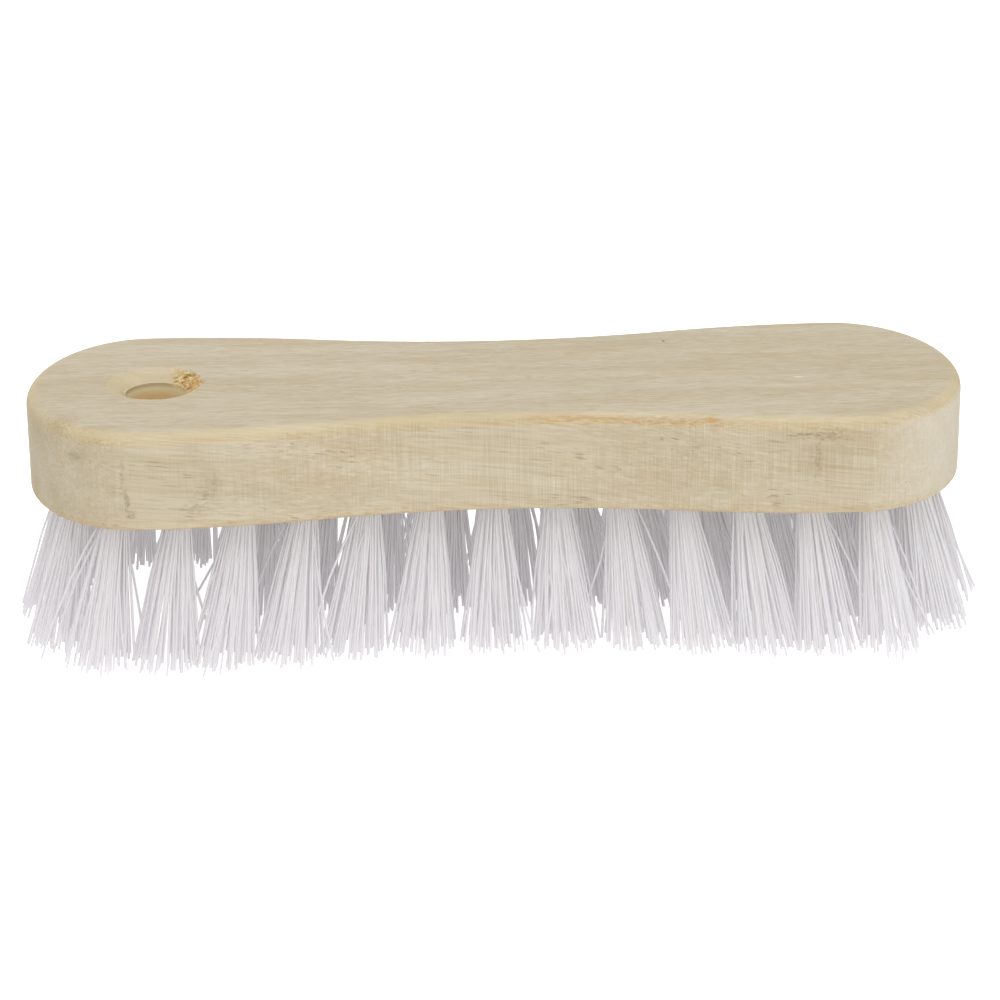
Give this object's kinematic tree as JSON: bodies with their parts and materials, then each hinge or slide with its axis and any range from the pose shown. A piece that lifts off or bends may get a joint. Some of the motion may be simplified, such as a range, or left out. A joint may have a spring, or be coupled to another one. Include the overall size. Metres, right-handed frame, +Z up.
{
  "type": "scrub brush",
  "caption": "Waisted wooden scrub brush with a rounded block, a dished hang hole at one end and leaning tufts of white plastic bristle below.",
  "frame": {"origin": "centre of the footprint, on the ground plane that the bristle tips rest on", "axes": "+X along the block, away from the hang hole; +Z up, out of the block's smooth face; +Y across the block, right-handed"},
  "size_m": [0.2061, 0.0694, 0.053],
  "materials": {
    "bare_wood": "sanded, unvarnished",
    "white_bristle": "translucent white drawn filament",
    "staple_wire": "flat rolled wire"
  },
  "bodies": {
    "root": {"anchor_staples": "staple_wire", "bristle_tuft_01": "white_bristle", "bristle_tuft_02": "white_bristle", "bristle_tuft_03": "white_bristle", "bristle_tuft_04": "white_bristle", "bristle_tuft_05": "white_bristle", "bristle_tuft_06": "white_bristle", "bristle_tuft_07": "white_bristle", "bristle_tuft_08": "white_bristle", "bristle_tuft_09": "white_bristle", "bristle_tuft_10": "white_bristle", "bristle_tuft_11": "white_bristle", "bristle_tuft_12": "white_bristle", "bristle_tuft_13": "white_bristle", "bristle_tuft_14": "white_bristle", "bristle_tuft_15": "white_bristle", "bristle_tuft_16": "white_bristle", "bristle_tuft_17": "white_bristle", "bristle_tuft_18": "white_bristle", "bristle_tuft_19": "white_bristle", "bristle_tuft_20": "white_bristle", "bristle_tuft_21": "white_bristle", "bristle_tuft_22": "white_bristle", "bristle_tuft_23": "white_bristle", "bristle_tuft_24": "white_bristle", "bristle_tuft_25": "white_bristle", "bristle_tuft_26": "white_bristle", "bristle_tuft_27": "white_bristle", "bristle_tuft_28": "white_bristle", "bristle_tuft_29": "white_bristle", "bristle_tuft_30": "white_bristle", "bristle_tuft_31": "white_bristle", "bristle_tuft_32": "white_bristle", "bristle_tuft_33": "white_bristle", "bristle_tuft_34": "white_bristle", "bristle_tuft_35": "white_bristle", "bristle_tuft_36": "white_bristle", "bristle_tuft_37": "white_bristle", "bristle_tuft_38": "white_bristle", "bristle_tuft_39": "white_bristle", "bristle_tuft_40": "white_bristle", "bristle_tuft_41": "white_bristle", "bristle_tuft_42": "white_bristle", "bristle_tuft_43": "white_bristle", "bristle_tuft_44": "white_bristle", "bristle_tuft_45": "white_bristle", "bristle_tuft_46": "white_bristle", "bristle_tuft_47": "white_bristle", "wooden_block": "bare_wood"}
  },
  "joints": []
}
